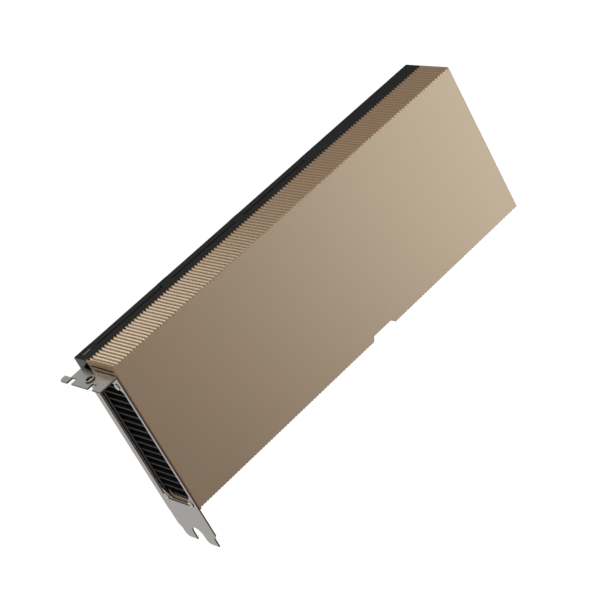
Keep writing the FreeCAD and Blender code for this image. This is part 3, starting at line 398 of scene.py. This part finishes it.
def edge_wedges(width, rim, rise):
    """Cutters for a chamfer along the front of both ribbed sides. Only the crests are high enough for it."""
    margin, past_end = 0.3, 1.0
    low, high = (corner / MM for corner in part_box("cover"))
    work = bmesh.new()
    for side, crest in ((1.0, high.y - rise), (-1.0, -low.y - rise)):
        section = [(crest - width - margin, high.z + margin), (crest + margin, high.z - width - margin),
                   (crest + margin, high.z + margin)]
        near, far = ([work.verts.new((x * MM, side * y * MM, z * MM)) for y, z in section]
                     for x in (low.x + rim, high.x + past_end))
        work.faces.new(near)
        work.faces.new(far)
        for n in range(3):
            work.faces.new((near[n - 1], near[n], far[n], far[n - 1]))
    bmesh.ops.recalc_face_normals(work, faces=work.faces)
    return mesh_of(work, "wedges")


def hex_sockets(node_name, depth, radius):
    """Six-sided cutters in the back of each screw of the node."""
    work = bmesh.new()
    for low, high in boxes_of(frame["nodes"][node_name]):
        middle = (low + high) / 2
        bmesh.ops.create_cone(work, cap_ends=True, segments=6, radius1=radius * MM, radius2=radius * MM,
                              depth=2 * depth * MM, matrix=Matrix.Translation((middle.x, middle.y, low.z)))
    return mesh_of(work, "sockets")


def clean_copy(node):
    """The node's mesh where it stands, with doubled corners merged and split flat faces whole."""
    mesh = node.data.copy()
    mesh.transform(node.matrix_world)
    if "custom_normal" in mesh.attributes:
        mesh.attributes.remove(mesh.attributes["custom_normal"])
    work = bmesh.new()
    work.from_mesh(mesh)
    bmesh.ops.remove_doubles(work, verts=work.verts, dist=MERGE)
    bmesh.ops.dissolve_limit(work, angle_limit=FLAT_TURN, verts=work.verts, edges=work.edges)
    work.to_mesh(mesh)
    work.free()
    mesh.shade_smooth()
    return mesh


def softened(node_name, material_slot, width, segments, cutter=None, finish=None):
    """The node's own form, cut if need be, with its edges rounded, which catch the light as real ones do."""
    rough = put("rough", clean_copy(frame["nodes"][node_name]))
    if cutter:
        tool = put("cutter", cutter)
        sunk = rough.modifiers.new("sunk", "BOOLEAN")
        sunk.object = tool
        sunk.solver = "EXACT"
    bevel = rough.modifiers.new("edges", "BEVEL")
    bevel.width = width * MM
    bevel.segments = segments
    bevel.limit_method = "ANGLE"
    bevel.angle_limit = SHARP_TURN
    bevel.use_clamp_overlap = True
    bevel.harden_normals = True
    done = settled(rough)
    bpy.data.objects.remove(rough)
    if cutter:
        bpy.data.objects.remove(tool)
    done.name = node_name + "_finished"
    return new_piece(node_name + "_finished", done, material_slot, node_name, finish=finish)


def loosened(piece, front):
    """Draw the front of the piece back from its recess, so that the joint there shows as a dark line."""
    low, high = (f(v.co.z for v in piece.data.vertices) for f in (min, max))
    for vert in piece.data.vertices:
        vert.co.z = low + (vert.co.z - low) * (1.0 - front * MM / (high - low))


def finger_tree():
    """A row of plated contact fingers: one cuboid repeated along X and dressed."""
    tree = bpy.data.node_groups.new("contact_fingers", "GeometryNodeTree")
    for word, kind in (("Start", "NodeSocketVector"), ("Finger", "NodeSocketVector"),
                       ("Count", "NodeSocketInt"), ("Pitch", "NodeSocketVector"),
                       ("Finish", "NodeSocketMaterial")):
        tree.interface.new_socket(word, in_out="INPUT", socket_type=kind)
    tree.interface.new_socket("Fingers", in_out="OUTPUT", socket_type="NodeSocketGeometry")
    new, link = tree.nodes.new, tree.links.new
    given, made = new("NodeGroupInput"), new("NodeGroupOutput")
    line, block = new("GeometryNodeMeshLine"), new("GeometryNodeMeshCube")
    repeat, real = new("GeometryNodeInstanceOnPoints"), new("GeometryNodeRealizeInstances")
    dressed = new("GeometryNodeSetMaterial")
    link(given.outputs["Start"], line.inputs["Start Location"])
    link(given.outputs["Pitch"], line.inputs["Offset"])
    link(given.outputs["Count"], line.inputs["Count"])
    link(given.outputs["Finger"], block.inputs["Size"])
    link(line.outputs["Mesh"], repeat.inputs["Points"])
    link(block.outputs["Mesh"], repeat.inputs["Instance"])
    link(repeat.outputs["Instances"], real.inputs["Geometry"])
    link(real.outputs["Geometry"], dressed.inputs["Geometry"])
    link(given.outputs["Finish"], dressed.inputs["Material"])
    link(dressed.outputs["Geometry"], made.inputs["Fingers"])
    return tree


def make_contacts():
    """Separate fingers in place of the plain contact fields, on both faces of the tongue."""
    pitch, width = 1.0 * MM, 0.7 * MM
    spare = 1e-6
    tree = finger_tree()
    socket = {item.name: item.identifier for item in tree.interface.items_tree}
    joined = bmesh.new()
    for low, high in boxes_of(frame["nodes"]["edge_contacts"]):
        size = high - low
        count = int((size.x - width) / pitch + 1.0 + spare)
        first = low.x + (size.x - (count - 1) * pitch) / 2
        host = put("fingers", bpy.data.meshes.new("fingers"))
        row = host.modifiers.new("row", "NODES")
        row.node_group = tree
        row[socket["Start"]] = (first, (low.y + high.y) / 2, (low.z + high.z) / 2)
        row[socket["Finger"]] = (width, size.y, size.z)
        row[socket["Count"]] = count
        row[socket["Pitch"]] = (pitch, 0.0, 0.0)
        row[socket["Finish"]] = MATERIALS["gold"]
        mesh = settled(host)
        joined.from_mesh(mesh)
        bpy.data.objects.remove(host)
        bpy.data.meshes.remove(mesh)
    new_piece("contact_fingers", mesh_of(joined, "contact_fingers"), "gold", "edge_contacts")


def make_strip_mark():
    """A short plain bronze inlay in the black strip, by the bracket."""
    start, end, back, front = -129.7, -124.7, 4.6, 5.4
    sunk, proud = 0.02, 0.03
    strip = frame["nodes"]["backplate"]
    top = max((strip.matrix_world @ v.co).y for v in strip.data.vertices) / MM
    mark = cuboid("strip_mark", (start, top - sunk, back), (end, top + proud, front))
    new_piece("strip_mark", mark, "cover")


def make_fin_bar():
    """A bar across the foot of the fin ends, seen low in the bracket window; its grey paints the highlight
    along the heatsink base's end.
    """
    proud, sunk, back, front = 0.40, 0.05, 7.3, 8.5
    low, high = (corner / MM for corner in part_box("heatsink"))
    bar = cuboid("fin_bar", (low.x - proud, low.y, back), (low.x + sunk, high.y, front))
    # painted highlight: the bar's grey stands in for light caught along the base's end
    new_piece("fin_bar", bar, "fins", finish="base_end_painted_highlight")


def make_pieces():
    make_contacts()
    make_strip_mark()
    cover = softened("cover", "cover", 0.18, 2, edge_wedges(width=0.5, rim=1.2, rise=0.7))
    # painted shade: the end faces, facing along X, get the darker copy of the bronze
    refinish(cover, "cover_end_painted_shade", lambda way: abs(way.x) > MOSTLY and abs(way.y) < PARTLY)
    # painted shade: the groove flanks, leaning along both X and Y, get the darker copy of the bronze
    refinish(cover, "cover_groove_painted_shade", lambda way: abs(way.x) > PARTLY and abs(way.y) > PARTLY)
    light_only("low_light", cover)
    backplate = softened("backplate", "black_metal", 0.20, 2)
    # painted sheen: the backplate's faces that face along X get the lighter, shinier black
    refinish(backplate, "black_end_painted_sheen", lambda way: abs(way.x) > MOSTLY)
    # painted shade on the bracket's thin sheet edges
    shade_bracket_edges(softened("slot_bracket", "steel", 0.10, 2))
    softened("bracket_screws", "bright_steel", 0.15, 2)
    sockets = hex_sockets("backplate_screws", depth=0.6, radius=0.8)
    softened("backplate_screws", "black_metal", 0.12, 2, sockets, finish="black_screw")
    softened("power_header", "black_plastic", 0.15, 2)
    softened("heatsink", "fins", 0.10, 1)
    make_fin_bar()
    for number in (1, 2, 3):
        loosened(softened(f"link_cap_{number}", "black_plastic", 0.25, 3), front=0.95)


# ---------------------------------------------------------------- floor

def make_floor():
    """A pale floor that glows evenly to the camera from above and lets every other ray through."""
    drop, half = 0.4 * MM, 3.0
    glow, share = 1.1, 0.90
    level = cad_box[0].z - drop
    mesh = bpy.data.meshes.new("floor")
    corners = ((-half, -half), (half, -half), (half, half), (-half, half))
    mesh.from_pydata([(x, y, level) for x, y in corners], [], [(0, 1, 2, 3)])
    floor = put("floor", mesh)
    material, tree, surface = new_material("studio_floor")
    surface.inputs["Base Color"].default_value = (0.93, 0.93, 0.93, 1.0)
    surface.inputs["Roughness"].default_value = 0.9
    surface.inputs["Specular IOR Level"].default_value = 0.0
    white = tree.nodes.new("ShaderNodeEmission")
    white.inputs["Strength"].default_value = glow
    clear = tree.nodes.new("ShaderNodeBsdfTransparent")
    blend = tree.nodes.new("ShaderNodeMixShader")
    blend.inputs["Fac"].default_value = share
    path = tree.nodes.new("ShaderNodeLightPath")
    side = tree.nodes.new("ShaderNodeNewGeometry")
    shown = tree.nodes.new("ShaderNodeMath")
    shown.operation = "SUBTRACT"
    shown.use_clamp = True
    choice = tree.nodes.new("ShaderNodeMixShader")
    link = tree.links.new
    link(surface.outputs["BSDF"], blend.inputs[1])
    link(white.outputs["Emission"], blend.inputs[2])
    link(path.outputs["Is Camera Ray"], shown.inputs[0])
    link(side.outputs["Backfacing"], shown.inputs[1])
    link(shown.outputs["Value"], choice.inputs["Fac"])
    link(clear.outputs["BSDF"], choice.inputs[1])
    link(blend.outputs["Shader"], choice.inputs[2])
    link(choice.outputs["Shader"], tree.nodes["Material Output"].inputs["Surface"])
    mesh.materials.append(material)


make_camera()
make_world()
for light_name, numbers in LIGHTS.items():
    soft_light(light_name, *numbers)
GRAIN = grain_group()
MATERIALS = make_materials()
dress_nodes()
make_pieces()
make_floor()
bpy.context.scene.view_settings.view_transform = "Standard"
